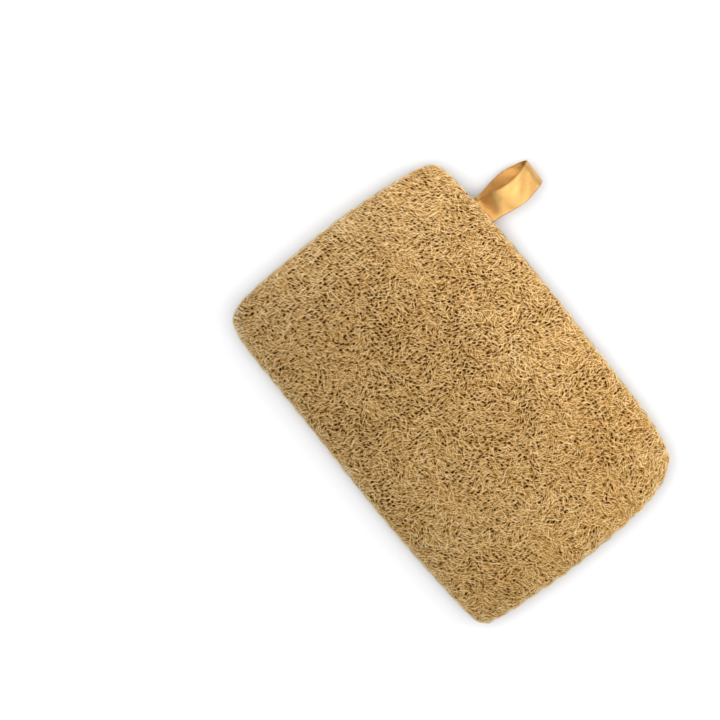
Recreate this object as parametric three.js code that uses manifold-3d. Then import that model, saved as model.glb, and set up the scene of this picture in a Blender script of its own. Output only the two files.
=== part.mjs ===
// A flat bath sponge of natural loofah: two pressed layers of the gourd's fibre net, sewn
// together round the rim and turned, with a satin hanging loop caught in one long side.
// Millimetres, +Z up. The origin is the small flat spot under the middle of the sponge,
// +X runs along its length and +Y points to the side with the loop.

import * as THREE from "three";
import { mergeVertices } from "three/addons/utils/BufferGeometryUtils.js";
import Module from "manifold-3d";

// Outline of the sponge, seen from above, with a value for each quarter: the share of the width
// lost at the ends, the share of the length lost at the sides, and the superellipse power of
// the corner, which is higher for a tighter corner
const LENGTH = 158.6;
const WIDTH = 103.6;
const SIDE_BOW = { rightLoop: 0, leftLoop: 0.069, leftFar: -0.028, rightFar: 0.08 };
const END_BOW = { rightLoop: 0.069, leftLoop: 0.062, leftFar: 0.027, rightFar: 0.043 };
const SQUARENESS = { rightLoop: 8, leftLoop: 21, leftFar: 12, rightFar: 26 };

// Section of the sponge
const SEAM_HEIGHT = 6.5;         // the seam between the layers, above the table
const LAYER_GAP = 0.3;           // the layers lie face to face
const TOP_CROWN = 1.1;           // the upper layer swells towards its middle
const RIM_WIDTH = 6.5;           // plan width of the rounded rim
const GROOVE_DEPTH = 1.0;        // the stitches draw the seam in by this much
const GROOVE_RISE = 1.7;         // height of the widest line, from the seam
const SHOULDER = { front_ply: 6.0, back_ply: 6.5 };

// Puckers between the seam's stitches, drawn in from the outline
const PUCKERS_PER_SIDE = 22;
const PUCKERS_PER_END = 14;
const PUCKER_DEPTH = { rightEnd: 0.8, loopSide: 0.5, leftEnd: 0.4, farSide: 0.4 };

// The raised net, larger than life
const STRAND_STEP = 2.65;        // distance between neighbouring knots of the net
const PORE_DEPTH = 2.0;
const PORE_DEPTH_SPREAD = 0.35;  // share by which pores are deeper or shallower
const KNOT_UNEVENNESS = 0.2;
const KNOT_WANDER = 0.2;         // sideways, as a share of STRAND_STEP
const FELTED_SHARE = 0.06;       // pores that are grown over
const NET_STARTS = 3.4;          // distance from the seam, along the surface
const REST_SPOT_RADIUS = 6;
const SEED = { front_ply: 2611, back_ply: 907 };

// The hanging loop
const RIBBON_WIDTH = 10;
const RIBBON_THICKNESS = 0.5;
const RIBBON_X = -47.95;
const RIBBON_REACH = 24.4;        // the loop's tip, from the rim
const RIBBON_TUCK = 10;          // length held between the layers
const RIBBON_OPENING = 4.3;      // half the gap between the loop's two runs
const RIBBON_TILT = 11;          // degrees, about its own length
const RIBBON_LEAN = 0.8;         // the two runs leave the seam this far off its middle
const RIBBON_SWAY = 0.2;         // and bow away from each other by this
const RIBBON_TURNED_AT = 0.35;   // share of the reach where it has its full tilt
const POCKET_MOUTH = 2;          // how far past the rim the ribbon's pocket is cut
const RIBBON_STEPS = 44;
const CLEARANCE = 0.3;

// The seam's thread
const THREAD_RADIUS = 0.25;
const THREAD_SIDES = 3;
const THREAD_SWING = 0.45;       // up and down across the seam
const THREAD_INSET = -0.1;

const HALF_LENGTH = LENGTH / 2;
const HALF_WIDTH = WIDTH / 2;
const GROOVE_WALL = Math.hypot(GROOVE_DEPTH, GROOVE_RISE);
const SMOOTH_INSIDE = 25;        // past this distance from the seam the corners have no effect

const wasm = await Module();
wasm.setup();

// A small repeatable random source
function randomFrom(seed) {
  let state = seed;
  return () => {
    state = (state + 0x6d2b79f5) | 0;
    let t = Math.imul(state ^ (state >>> 15), 1 | state);
    t = (t + Math.imul(t ^ (t >>> 7), 61 | t)) ^ t;
    return ((t ^ (t >>> 14)) >>> 0) / 4294967296;
  };
}

// Length of a quarter of an ellipse, by Ramanujan's formula
function quarterEllipse(a, b) {
  return (Math.PI / 4) * (3 * (a + b) - Math.sqrt((3 * a + b) * (a + 3 * b)));
}

// Section of one layer's outer face: the place at a distance from the seam along the face,
// as inset from the outline and height above the seam, sunk by depth along its normal
function rimSection(along, shoulder, depth) {
  const turn = quarterEllipse(RIM_WIDTH, shoulder - GROOVE_RISE);
  if (along < GROOVE_WALL) {
    const share = along / GROOVE_WALL;
    return {
      inset: GROOVE_DEPTH * (1 - share),
      height: LAYER_GAP / 2 + (GROOVE_RISE - LAYER_GAP / 2) * share,
    };
  }
  const angle = Math.min((along - GROOVE_WALL) / turn, 1) * (Math.PI / 2);
  const past = Math.max(along - GROOVE_WALL - turn, 0);
  return {
    inset: RIM_WIDTH * (1 - Math.cos(angle)) + past + depth * Math.cos(angle),
    height: GROOVE_RISE + (shoulder - GROOVE_RISE - depth) * Math.sin(angle),
  };
}

// Half sizes of the outer face rolled out flat
function flatHalfSizes(shoulder) {
  const extra = GROOVE_WALL + quarterEllipse(RIM_WIDTH, shoulder - GROOVE_RISE) - RIM_WIDTH;
  return { x: HALF_LENGTH + extra, y: HALF_WIDTH + extra };
}

function quarterAt(x, y) {
  return (x > 0 ? "right" : "left") + (y > 0 ? "Loop" : "Far");
}

// Where a point of the rolled-out face comes in plan, for a given inset from the outline
function planPlace(x, y, flat, inset) {
  const along = Math.max(Math.min(flat.x - Math.abs(x), flat.y - Math.abs(y)), 0);
  const across = { x: x / (flat.x - along), y: y / (flat.y - along) };
  const quarter = quarterAt(x, y);
  const power = SQUARENESS[quarter];
  const round = (Math.abs(across.x) ** power + Math.abs(across.y) ** power) ** (-1 / power);
  const pull = THREE.MathUtils.lerp(round, 1, Math.min(along / SMOOTH_INSIDE, 1));
  const px = across.x * pull * (HALF_LENGTH - inset);
  const py = across.y * pull * (HALF_WIDTH - inset);
  return {
    x: px * (1 - END_BOW[quarter] * (py / HALF_WIDTH) ** 2),
    y: py * (1 - SIDE_BOW[quarter] * (px / HALF_LENGTH) ** 2),
  };
}

// How far the stitches pucker the rim in, at a point of the rolled-out face
function pucker(x, y, flat) {
  const onEnd = flat.x - Math.abs(x) < flat.y - Math.abs(y);
  const share = onEnd ? y / flat.y : x / flat.x;
  const count = onEnd ? PUCKERS_PER_END : PUCKERS_PER_SIDE;
  const end = x > 0 ? PUCKER_DEPTH.rightEnd : PUCKER_DEPTH.leftEnd;
  const side = y > 0 ? PUCKER_DEPTH.loopSide : PUCKER_DEPTH.farSide;
  return ((onEnd ? end : side) * (1 + Math.cos(Math.PI * count * share))) / 2;
}

// Rows of points that fill the rolled-out face as a triangular grid, out to its edges
function gridRows(flat) {
  const rowCount = Math.round((2 * flat.y) / (STRAND_STEP * Math.sqrt(0.75)));
  const perRow = Math.round((2 * flat.x) / STRAND_STEP);
  const step = (2 * flat.x) / perRow;
  const rows = [];
  for (let j = 0; j <= rowCount; j += 1) {
    const y = -flat.y + (2 * flat.y * j) / rowCount;
    const row = [];
    for (let i = 0; i <= perRow; i += 1) {
      const shift = j % 2 === 1 && i > 0 ? 0.5 : 0;
      row.push({ x: -flat.x + (i - shift) * step, y, third: (i + j + Math.floor(j / 2)) % 3 });
    }
    if (j % 2 === 1) {
      row.push({ x: flat.x, y, third: 0 });
    }
    rows.push(row);
  }
  return rows;
}

// Triangles between two rows of the grid, anticlockwise seen from above
function stitchRows(lower, upper, triangles) {
  let i = 0;
  let j = 0;
  while (i < lower.length - 1 || j < upper.length - 1) {
    const nextLower = i < lower.length - 1 ? lower[i + 1].x : Infinity;
    const nextUpper = j < upper.length - 1 ? upper[j + 1].x : Infinity;
    if (nextLower <= nextUpper) {
      triangles.push([lower[i].index, lower[i + 1].index, upper[j].index]);
      i += 1;
    } else {
      triangles.push([lower[i].index, upper[j + 1].index, upper[j].index]);
      j += 1;
    }
  }
}

// Which of the grid's three sets of knots the pores keep to, which changes from place to place
function localThird(point) {
  const wave = Math.sin(point.x / 19) + Math.sin(point.y / 13 + point.x / 31);
  return (Math.round(1.5 * wave) + 3) % 3;
}

// Picks the pores, so that no two of them touch and strands run between them all
function choosePores(points, triangles, mayBePore, random) {
  const neighbours = points.map(() => new Set());
  triangles.forEach((corners) => {
    corners.forEach((from) => corners.forEach((to) => neighbours[from].add(to)));
  });
  const order = points.filter((point) => mayBePore(point) && random() > FELTED_SHARE);
  order.forEach((point) => {
    point.draw = random() + (point.third === localThird(point) ? 0 : 1);
  });
  order.sort((first, second) => first.draw - second.draw);
  order.forEach((point) => {
    point.pore = [...neighbours[point.index]].every((other) => !points[other].pore);
  });
}

// The boundary of the grid, once round anticlockwise
function gridBoundary(rows) {
  const top = rows[rows.length - 1];
  const middle = rows.slice(1, -1);
  return [
    ...rows[0],
    ...middle.map((row) => row[row.length - 1]),
    ...[...top].reverse(),
    ...middle.map((row) => row[0]).reverse(),
  ];
}

// Distance from the seam of a point of the rolled-out face
function fromSeam(x, y, flat) {
  return Math.min(flat.x - Math.abs(x), flat.y - Math.abs(y));
}

// Where one knot or pore of a layer comes in space. A lower layer's knots all reach the table.
function netPlace(point, layer, random) {
  const { flat, shoulder, side } = layer;
  const inNet = point.along > NET_STARTS && !point.isRest;
  const wander = inNet ? KNOT_WANDER * STRAND_STEP : 0;
  const x = point.x + wander * (2 * random() - 1);
  const y = point.y + wander * (2 * random() - 1);
  const unevenness = 1 + PORE_DEPTH_SPREAD * (2 * random() - 1);
  const sunk = point.pore ? PORE_DEPTH * unevenness : KNOT_UNEVENNESS * random();
  const lies = side < 0 && !point.pore && point.along > RIM_WIDTH + GROOVE_WALL;
  const section = rimSection(fromSeam(x, y, flat), shoulder, inNet && !lies ? sunk : 0);
  const puckered = Math.min(point.along / GROOVE_WALL, 1) * Math.max(1 - section.inset / RIM_WIDTH, 0);
  const place = planPlace(x, y, flat, section.inset + puckered * pucker(x, y, flat));
  const middle = (1 - (place.x / HALF_LENGTH) ** 2) * (1 - (place.y / HALF_WIDTH) ** 2);
  const crown = side > 0 && point.along > 0 ? TOP_CROWN * middle : 0;
  return [place.x, place.y, SEAM_HEIGHT + side * (section.height + crown)];
}

// One layer of loofah: its outer face is a net of strands and pores, its inner face is flat.
// side is 1 for the upper layer and -1 for the lower one.
function layerGeometry(name, side) {
  const random = randomFrom(SEED[name]);
  const layer = { side, shoulder: SHOULDER[name], flat: flatHalfSizes(SHOULDER[name]) };
  const rows = gridRows(layer.flat);
  const points = rows.flat();
  points.forEach((point, index) => {
    point.index = index;
    point.along = fromSeam(point.x, point.y, layer.flat);
    point.isRest = side < 0 && Math.hypot(point.x, point.y) < REST_SPOT_RADIUS;
  });
  const triangles = [];
  for (let j = 0; j < rows.length - 1; j += 1) {
    stitchRows(rows[j], rows[j + 1], triangles);
  }
  choosePores(points, triangles, (p) => p.along > NET_STARTS && !p.isRest, random);

  const edge = gridBoundary(rows);
  edge.forEach((point, i) => {
    triangles.push([points.length, edge[(i + 1) % edge.length].index, point.index]);
  });
  const positions = points.flatMap((point) => netPlace(point, layer, random));
  positions.push(0, 0, SEAM_HEIGHT + (side * LAYER_GAP) / 2);

  const geometry = new THREE.BufferGeometry();
  geometry.setAttribute("position", new THREE.Float32BufferAttribute(positions, 3));
  geometry.setIndex(triangles.flatMap(([a, b, c]) => (side > 0 ? [a, b, c] : [a, c, b])));
  return geometry;
}

function toSolid(geometry) {
  const bare = geometry.clone();
  bare.deleteAttribute("normal");
  bare.deleteAttribute("uv");
  const merged = mergeVertices(bare, 1e-4);
  return new wasm.Manifold(new wasm.Mesh({
    numProp: 3,
    vertProperties: new Float32Array(merged.attributes.position.array),
    triVerts: new Uint32Array(merged.index.array),
  }));
}

function fromSolid(solid) {
  const mesh = solid.getMesh();
  const geometry = new THREE.BufferGeometry();
  geometry.setAttribute("position", new THREE.Float32BufferAttribute(mesh.vertProperties, 3));
  geometry.setIndex([...mesh.triVerts]);
  return geometry;
}

// Where the rim runs at the loop, on the long side
function rimAtRibbon() {
  return HALF_WIDTH * (1 - SIDE_BOW.leftLoop * (RIBBON_X / HALF_LENGTH) ** 2);
}

// The shallow pocket between the layers that the ribbon's two ends lie in
function pocketGeometry() {
  const width = RIBBON_WIDTH + 2 * (RIBBON_LEAN + CLEARANCE);
  const length = RIBBON_TUCK + CLEARANCE + POCKET_MOUTH;
  const height = 3 * CLEARANCE + 2 * RIBBON_THICKNESS;
  const pocket = new THREE.BoxGeometry(width, length, height);
  pocket.translate(RIBBON_X, rimAtRibbon() + POCKET_MOUTH - length / 2, SEAM_HEIGHT);
  return pocket;
}

// The loop's route: out of the pocket, round the tip and back in, in the plane X = RIBBON_X
function ribbonRoute() {
  const rim = rimAtRibbon();
  const lie = (LAYER_GAP + RIBBON_THICKNESS) / 2;
  const run = [
    [rim - RIBBON_TUCK, lie],
    [rim - RIBBON_TUCK / 2, lie],
    [rim + 0.5, lie],
    [rim + RIBBON_REACH * 0.25, RIBBON_OPENING * 0.52],
    [rim + RIBBON_REACH * 0.5, RIBBON_OPENING * 0.96],
    [rim + RIBBON_REACH * 0.75, RIBBON_OPENING * 0.97],
    [rim + RIBBON_REACH * 0.93, RIBBON_OPENING * 0.58],
  ];
  const tip = [rim + RIBBON_REACH - RIBBON_THICKNESS / 2, 0];
  const back = [...run].reverse().map(([y, z]) => [y, -z]);
  const places = [...run, tip, ...back].map(([y, z]) => new THREE.Vector3(0, y, z));
  return new THREE.CatmullRomCurve3(places, false, "centripetal");
}

// Gives the flat loop its tilt and sway past the rim
function poseRibbon(geometry) {
  const position = geometry.attributes.position;
  const rim = rimAtRibbon();
  for (let i = 0; i < position.count; i += 1) {
    const out = THREE.MathUtils.clamp((position.getY(i) - rim) / RIBBON_REACH, 0, 1);
    const side = THREE.MathUtils.clamp(position.getZ(i) / RIBBON_OPENING, -1, 1);
    const upper = Math.sign(side);
    const turned = THREE.MathUtils.smoothstep(out, 0, RIBBON_TURNED_AT);
    const angle = THREE.MathUtils.degToRad(RIBBON_TILT) * turned;
    const leanFade = 1 - THREE.MathUtils.smoothstep(out, 0.5, 1);
    const shift = upper * RIBBON_LEAN * leanFade + side * RIBBON_SWAY * Math.sin(Math.PI * out);
    const x = position.getX(i);
    const z = position.getZ(i);
    position.setX(i, RIBBON_X + shift + x * Math.cos(angle) + z * Math.sin(angle));
    position.setZ(i, SEAM_HEIGHT + z * Math.cos(angle) - x * Math.sin(angle));
  }
  return geometry;
}

function ribbonGeometry() {
  const section = new THREE.Shape();
  section.moveTo(-RIBBON_THICKNESS / 2, -RIBBON_WIDTH / 2);
  section.lineTo(RIBBON_THICKNESS / 2, -RIBBON_WIDTH / 2);
  section.lineTo(RIBBON_THICKNESS / 2, RIBBON_WIDTH / 2);
  section.lineTo(-RIBBON_THICKNESS / 2, RIBBON_WIDTH / 2);
  return poseRibbon(new THREE.ExtrudeGeometry(section, {
    steps: RIBBON_STEPS,
    extrudePath: ribbonRoute(),
  }));
}

// A path straight from point to point, which a swept section meets one step at a time
class Zigzag extends THREE.Curve {
  constructor(places) {
    super();
    this.places = places;
  }

  getUtoTmapping(u) {
    return u;
  }

  getPoint(t, target = new THREE.Vector3()) {
    const reach = t * (this.places.length - 1);
    const from = Math.min(Math.floor(reach), this.places.length - 2);
    return target.lerpVectors(this.places[from], this.places[from + 1], reach - from);
  }
}

// Stitches up and down across the seam, from one side of the loop round to the other
function threadPlaces() {
  const flat = flatHalfSizes(SHOULDER.front_ply);
  const edge = gridBoundary(gridRows(flat));
  const reach = RIBBON_WIDTH / 2 + RIBBON_LEAN + 2 * CLEARANCE + THREAD_RADIUS;
  const atRibbon = (p) => {
    const onSide = p.y > flat.y - STRAND_STEP / 2;
    return onSide && Math.abs(planPlace(p.x, p.y, flat, 0).x - RIBBON_X) < reach;
  };
  const start = edge.findIndex((p, i) => atRibbon(edge.at(i - 1)) && !atRibbon(p));
  const ordered = [...edge.slice(start), ...edge.slice(0, start)].filter((p) => !atRibbon(p));
  return ordered.map((p, i) => {
    const plan = planPlace(p.x, p.y, flat, THREAD_INSET);
    return new THREE.Vector3(plan.x, plan.y, SEAM_HEIGHT + (i % 2 ? 1 : -1) * THREAD_SWING);
  });
}

function threadSection() {
  const corners = [];
  for (let i = 0; i < THREAD_SIDES; i += 1) {
    const angle = (2 * Math.PI * i) / THREAD_SIDES;
    corners.push(new THREE.Vector2(THREAD_RADIUS * Math.cos(angle), THREAD_RADIUS * Math.sin(angle)));
  }
  return new THREE.Shape(corners);
}

function threadGeometry() {
  const places = threadPlaces();
  return new THREE.ExtrudeGeometry(threadSection(), {
    steps: places.length - 1,
    extrudePath: new Zigzag(places),
  });
}

function finish(color, roughness) {
  return new THREE.MeshStandardMaterial({ color, roughness, metalness: 0, flatShading: true });
}

function piece(name, geometry, material) {
  geometry.computeVertexNormals();
  const mesh = new THREE.Mesh(geometry, material);
  mesh.name = name;
  return mesh;
}

const pocket = toSolid(pocketGeometry());
const loofah = new THREE.Group();
loofah.add(
  piece(
    "front_ply",
    fromSolid(toSolid(layerGeometry("front_ply", 1)).subtract(pocket)),
    finish(0xbb945f, 0.9),
  ),
  piece(
    "back_ply",
    fromSolid(toSolid(layerGeometry("back_ply", -1)).subtract(pocket)),
    finish(0xb48d58, 0.9),
  ),
  piece("ribbon_loop", ribbonGeometry(), finish(0xd2a04e, 0.4)),
  piece("seam_thread", threadGeometry(), finish(0xe2cfa4, 0.7)),
);

export default loofah;
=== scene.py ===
"""Dresses a flat loofah bath sponge: fibre nets over both layers, the seam's stitches and a
satin loop."""

import math

import bmesh
import bpy
import numpy as np
from bpy.props import (
    FloatProperty, FloatVectorProperty, IntProperty, IntVectorProperty, PointerProperty)
from mathutils import Matrix, Vector


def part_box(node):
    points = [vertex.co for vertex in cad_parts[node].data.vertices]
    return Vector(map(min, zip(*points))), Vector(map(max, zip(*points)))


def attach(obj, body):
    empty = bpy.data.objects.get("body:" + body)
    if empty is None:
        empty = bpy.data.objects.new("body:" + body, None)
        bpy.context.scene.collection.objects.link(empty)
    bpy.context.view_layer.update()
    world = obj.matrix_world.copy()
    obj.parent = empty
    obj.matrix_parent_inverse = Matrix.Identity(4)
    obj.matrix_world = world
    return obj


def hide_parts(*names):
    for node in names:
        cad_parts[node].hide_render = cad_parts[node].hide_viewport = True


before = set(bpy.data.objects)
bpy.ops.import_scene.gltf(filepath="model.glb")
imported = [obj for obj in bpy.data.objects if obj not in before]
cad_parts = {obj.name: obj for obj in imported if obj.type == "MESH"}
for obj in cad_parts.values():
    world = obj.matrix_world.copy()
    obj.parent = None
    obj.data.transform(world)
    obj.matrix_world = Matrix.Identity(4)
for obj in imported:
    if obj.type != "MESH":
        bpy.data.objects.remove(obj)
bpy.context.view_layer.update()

MM = 0.001

bl_info = {
    "name": "Loofah sponge",
    "version": (1, 0, 0),
    "blender": (4, 5, 0),
    "location": "3D View > Sidebar > Loofah",
    "description": "Builds a flat bath sponge of natural loofah around its solid model",
    "category": "Object",
}

# Half way between the two layers
SEAM_Z = (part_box("front_ply")[0].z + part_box("back_ply")[1].z) / 2


def number(name, description, default, **kind):
    return FloatProperty(name=name, description=description, default=default, **kind)


def length(name, description, default):
    return number(name, description, default, unit="LENGTH")


def angle(name, description, default):
    return number(name, description, default, subtype="ANGLE", unit="ROTATION")


def vector(name, description, *default, **kind):
    return FloatVectorProperty(
        name=name, description=description, default=default, size=len(default), **kind)


def colour(name, description, *rgb):
    """A linear colour, given as an 8-bit sRGB one"""
    linear = (((c / 255 + 0.055) / 1.055) ** 2.4 for c in rgb)
    return vector(name, description, *linear, subtype="COLOR")


class SpongeShape(bpy.types.PropertyGroup):
    """Sizes of the sponge's outline and section"""

    length: length("Length", "Along the sponge, at its middle line", 0.1586)
    width: length("Width", "Across the sponge, at its middle line", 0.1036)
    side_bow: vector("Side bow", "Share of the width lost at the ends, in each quarter",
                     0.0, 0.069, -0.028, 0.08)
    end_bow: vector("End bow", "Share of the length lost at the sides, in each quarter",
                    0.069, 0.062, 0.027, 0.043)
    squareness: vector("Corners", "Superellipse power: right loop, left loop, left far, right far",
                       8.0, 21.0, 12.0, 26.0)
    rim_width: length("Rim width", "Plan width of the rounded rim", 0.0065)
    shoulders: vector("Shoulders", "From the seam to the face: upper layer, lower layer",
                      0.006, 0.0065, unit="LENGTH")
    groove_depth: length("Seam depth", "How far the stitches draw the seam in", 0.001)
    groove_rise: length("Widest line", "Height of the rim's widest line from the seam", 0.0017)
    layer_gap: length("Layer gap", "Between the two layers at the seam", 0.0004)
    crown: length("Crown", "How far the upper layer swells at its middle", 0.0011)
    pucker_depth: vector("Pucker depth", "Right end, loop side, left end, far side",
                         0.0008, 0.0005, 0.0004, 0.0004, unit="LENGTH")
    puckers: IntVectorProperty(
        name="Puckers", description="Along a side, along an end", size=2, default=(22, 14))


class FibreLook(bpy.types.PropertyGroup):
    """Sizes and colours of the loofah's fibres and of the pores between them"""

    width: length("Fibre width", "Diameter of a middling fibre", 0.00028)
    step: length("Fibre step", "Length of one straight piece of a fibre", 0.00066)
    steps: IntProperty(name="Steps", description="Points along one fibre", default=6)
    pitch: length("Pitch", "From fibre to fibre, side by side", 0.0011)
    heading: angle("Heading", "Way of the first fibres, from the sponge's length", math.radians(84))
    crossing: angle(
        "Crossing", "Angle between the two ways that fibres cross in", math.radians(72))
    swirl: number("Swirl", "How far the way of the fibres turns from place to place", 5.0)
    swirl_size: length("Swirl size", "Distance over which the fibres' way turns", 0.010)
    pore_spacing: length("Pore spacing", "Distance between neighbouring pores", 0.00152)
    pore_depth: length("Pore depth", "How deep the pores sink into the felt", 0.0013)
    swell: length("Swell", "How high the upper face rises and falls", 0.0009)
    pale: colour("Pale", "Colour of the lightest fibres", 253, 234, 188)
    tan: colour("Tan", "Colour of a middling fibre", 220, 181, 118)
    brown: colour("Brown", "Colour of the darkest fibres", 139, 92, 28)
    # Painted shade: the colour that darkens the open pores
    hollow: colour("Hollow", "Colour deep in the pores", 58, 28, 2)


class RibbonShape(bpy.types.PropertyGroup):
    """Sizes and colours of the hanging loop"""

    width: length("Width", "Width of the ribbon", 0.010)
    thickness: length("Thickness", "Thickness of the woven satin", 0.0002)
    place: length("Place", "Where the loop stands along the sponge", -0.04795)
    reach: length("Reach", "From the rim to the loop's tip", 0.0244)
    tuck: length("Tuck", "Length held between the layers", 0.010)
    opening: length("Opening", "Half the gap between the two runs", 0.0043)
    tilt: angle("Tilt", "How far the loop is turned about its own length", math.radians(14))
    lean: length("Lean", "How far off the loop's middle each run leaves the seam", 0.0008)
    gold: colour("Gold", "Colour of the satin", 230, 180, 108)
    shade: colour("Shade", "Colour between the satin's threads", 160, 114, 42)


class StitchLook(bpy.types.PropertyGroup):
    """Sizes and colour of the seam's stitches"""

    pitch: length("Pitch", "From stitch to stitch", 0.00098)
    thread: length("Thread", "Diameter of the thread", 0.00034)
    reach: length("Reach", "How far a stitch climbs from the seam", 0.0024)
    shown: length("Shown", "How far it climbs where the stitches show on the face", 0.0044)
    cream: colour("Cream", "Colour of the cotton", 246, 230, 196)


class StageLook(bpy.types.PropertyGroup):
    """Camera and light"""

    frame_width: length("Frame width", "Width of floor that the picture takes in", 0.273)
    camera_height: length("Camera height", "Height of the camera over the floor", 1.5)
    turn: angle(
        "Turn", "How far the picture is turned against the sponge", math.atan2(0.787, 0.617))
    top_power: number("Top light", "Power of the broad lamp overhead, in watts", 14.0)
    top_size: length("Top size", "Breadth of the lamp overhead", 1.6)
    key_power: number("Key light", "Power of the lamp that the satin mirrors, in watts", 0.9)
    side_power: number(
        "Side light", "Power of the lamp that lights the loop's inside, in watts", 0.9)
    lamp_size: length("Lamp size", "Breadth of those two lamps", 0.4)
    fill: number("Fill", "Strength of the light from all round", 0.9)
    shade: number("Shade", "How much less light comes from the sky's darker patch", 0.95)


def maths(operation):
    """A method that joins sockets by a Math node"""
    return lambda self, *others: self.math(operation, *others)


class Value:
    """A node socket that takes part in Python expressions"""

    def __init__(self, nodes, socket):
        self.nodes = nodes
        self.socket = socket

    def math(self, operation, *others):
        inputs = dict(enumerate((self, *others)))
        return self.nodes.add("ShaderNodeMath", inputs, operation=operation).out

    def clamped(self, low=0.0, high=1.0):
        return self.math("MAXIMUM", low).math("MINIMUM", high)

    def __rsub__(self, other):
        return self * -1.0 + other

    __add__ = __radd__ = maths("ADD")
    __sub__ = maths("SUBTRACT")
    __mul__ = maths("MULTIPLY")
    __truediv__ = maths("DIVIDE")
    __pow__ = maths("POWER")
    __gt__ = maths("GREATER_THAN")
    __lt__ = maths("LESS_THAN")
    __abs__ = maths("ABSOLUTE")


def find_socket(sockets, name):
    """A socket by its number, or the one of that name that is in use"""
    if isinstance(name, int):
        return sockets[name]
    return next(s for s in sockets if s.name == name and s.enabled)


class Made:
    """A node that was added, with its outputs by name"""

    def __init__(self, nodes, node):
        self.nodes = nodes
        self.node = node

    def __getitem__(self, name):
        return Value(self.nodes, find_socket(self.node.outputs, name))

    @property
    def out(self):
        return Value(self.nodes, next(s for s in self.node.outputs if s.enabled))


class Nodes:
    """Adds nodes to one tree"""

    def __init__(self, tree):
        self.tree = tree

    def add(self, kind, inputs=None, **settings):
        """A node of a type, with the values or links of its sockets and its settings"""
        node = self.tree.nodes.new(kind)
        for name, value in settings.items():
            setattr(node, name, value)
        for name, value in (inputs or {}).items():
            self.feed(find_socket(node.inputs, name), value)
        return Made(self, node)

    def feed(self, socket, value):
        if isinstance(value, Value):
            self.tree.links.new(value.socket, socket)
        else:
            socket.default_value = value

    def vector(self, operation, *values, **named):
        """Vector Math"""
        inputs = {**dict(enumerate(values)), **named}
        return self.add("ShaderNodeVectorMath", inputs, operation=operation).out

    def scaled(self, vector, by):
        return self.vector("SCALE", vector, Scale=by)

    def joined(self, x, y, z):
        return self.add("ShaderNodeCombineXYZ", {0: x, 1: y, 2: z}).out

    def parts(self, vector):
        made = self.add("ShaderNodeSeparateXYZ", {0: vector})
        return made[0], made[1], made[2]

    def way(self, angle):
        """X and Y of one step in the way of an angle"""
        return angle.math("COSINE"), angle.math("SINE")

    def turned(self, ahead, aside, cosine, sine):
        """A flat vector, given ahead and aside of a way"""
        return self.joined(ahead * cosine - aside * sine, ahead * sine + aside * cosine, 0.0)

    def noise(self, vector, scale, detail=2.0, roughness=0.5, dimensions="3D", **inputs):
        inputs = {"Vector": vector, "Scale": scale, "Detail": detail, "Roughness": roughness,
                  **inputs}
        return self.add("ShaderNodeTexNoise", inputs, noise_dimensions=dimensions).out

    def whole(self, operation, first, second):
        """Maths on whole numbers"""
        return self.add("FunctionNodeIntegerMath", {0: first, 1: second}, operation=operation).out

    def draws(self, ident, seed):
        """A function that draws a random value for each ident, by a salt that is its own"""
        def draw(low, high, salt):
            seeded = self.whole("ADD", seed, salt)
            inputs = {"Min": low, "Max": high, "ID": ident, "Seed": seeded}
            return self.add("FunctionNodeRandomValue", inputs, data_type="FLOAT").out
        return draw

    def store(self, geometry, name, value):
        return self.add("GeometryNodeStoreNamedAttribute",
                        {"Geometry": geometry, "Name": name, "Value": value}).out

    def kept(self, name, kind="FLOAT"):
        return self.add("GeometryNodeInputNamedAttribute", {"Name": name}, data_type=kind).out

    def cut(self, geometry, domain, where):
        """The geometry without its edges or points where a field says so"""
        return self.add("GeometryNodeDeleteGeometry",
                        {"Geometry": geometry, "Selection": where}, domain=domain).out

    def threads(self, count, steps):
        """The points of some threads, with each point's thread and its place on it, and the edges
        that lead from thread to thread"""
        line = self.add("GeometryNodeMeshLine",
                        {"Count": self.whole("MULTIPLY", count, steps)}, mode="OFFSET").out
        index = self.add("GeometryNodeInputIndex").out
        ends = self.add("GeometryNodeInputMeshEdgeVertices")
        first, second = (
            self.whole("DIVIDE", ends[f"Vertex Index {end}"], steps) for end in (1, 2))
        thread = self.whole("DIVIDE", index, steps)
        place_on = self.whole("MODULO", index, steps)
        return line, thread, place_on, abs(first - second) > 0.5

    def curves(self, mesh):
        return self.add("GeometryNodeMeshToCurve", {"Mesh": mesh}).out

    def move(self, geometry, **how):
        return self.add("GeometryNodeSetPosition", {"Geometry": geometry, **how}).out

    def tubes(self, curves, sides, width, material):
        """Round threads along curves, as a plain mesh with its material"""
        profile = self.add("GeometryNodeCurvePrimitiveCircle",
                           {"Resolution": sides, "Radius": 0.5}, mode="RADIUS")["Curve"]
        mesh = self.add("GeometryNodeCurveToMesh", {
            "Curve": curves, "Profile Curve": profile, "Scale": width, "Fill Caps": True}).out
        smooth = self.add("GeometryNodeSetShadeSmooth", {"Geometry": mesh}).out
        self.finish(smooth, material)

    def finish(self, geometry, material):
        """The tree's output: the geometry made real, with its material"""
        real = self.add("GeometryNodeRealizeInstances", {"Geometry": geometry}).out
        done = self.add("GeometryNodeSetMaterial", {"Geometry": real, "Material": material}).out
        self.add("NodeGroupOutput", {"Geometry": done})


def as_points(*parts):
    """One array of points from an array for each of their coordinates"""
    return np.stack(parts, axis=-1)


def by_quarter(x, y, values):
    """The value of each point's quarter: right loop, left loop, left far, right far"""
    right_loop, left_loop, left_far, right_far = values
    return np.where(
        x > 0, np.where(y > 0, right_loop, right_far), np.where(y > 0, left_loop, left_far))


# How far in from the edge the rounding of the corners fades out
CORNER_REACH = 25 * MM


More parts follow.
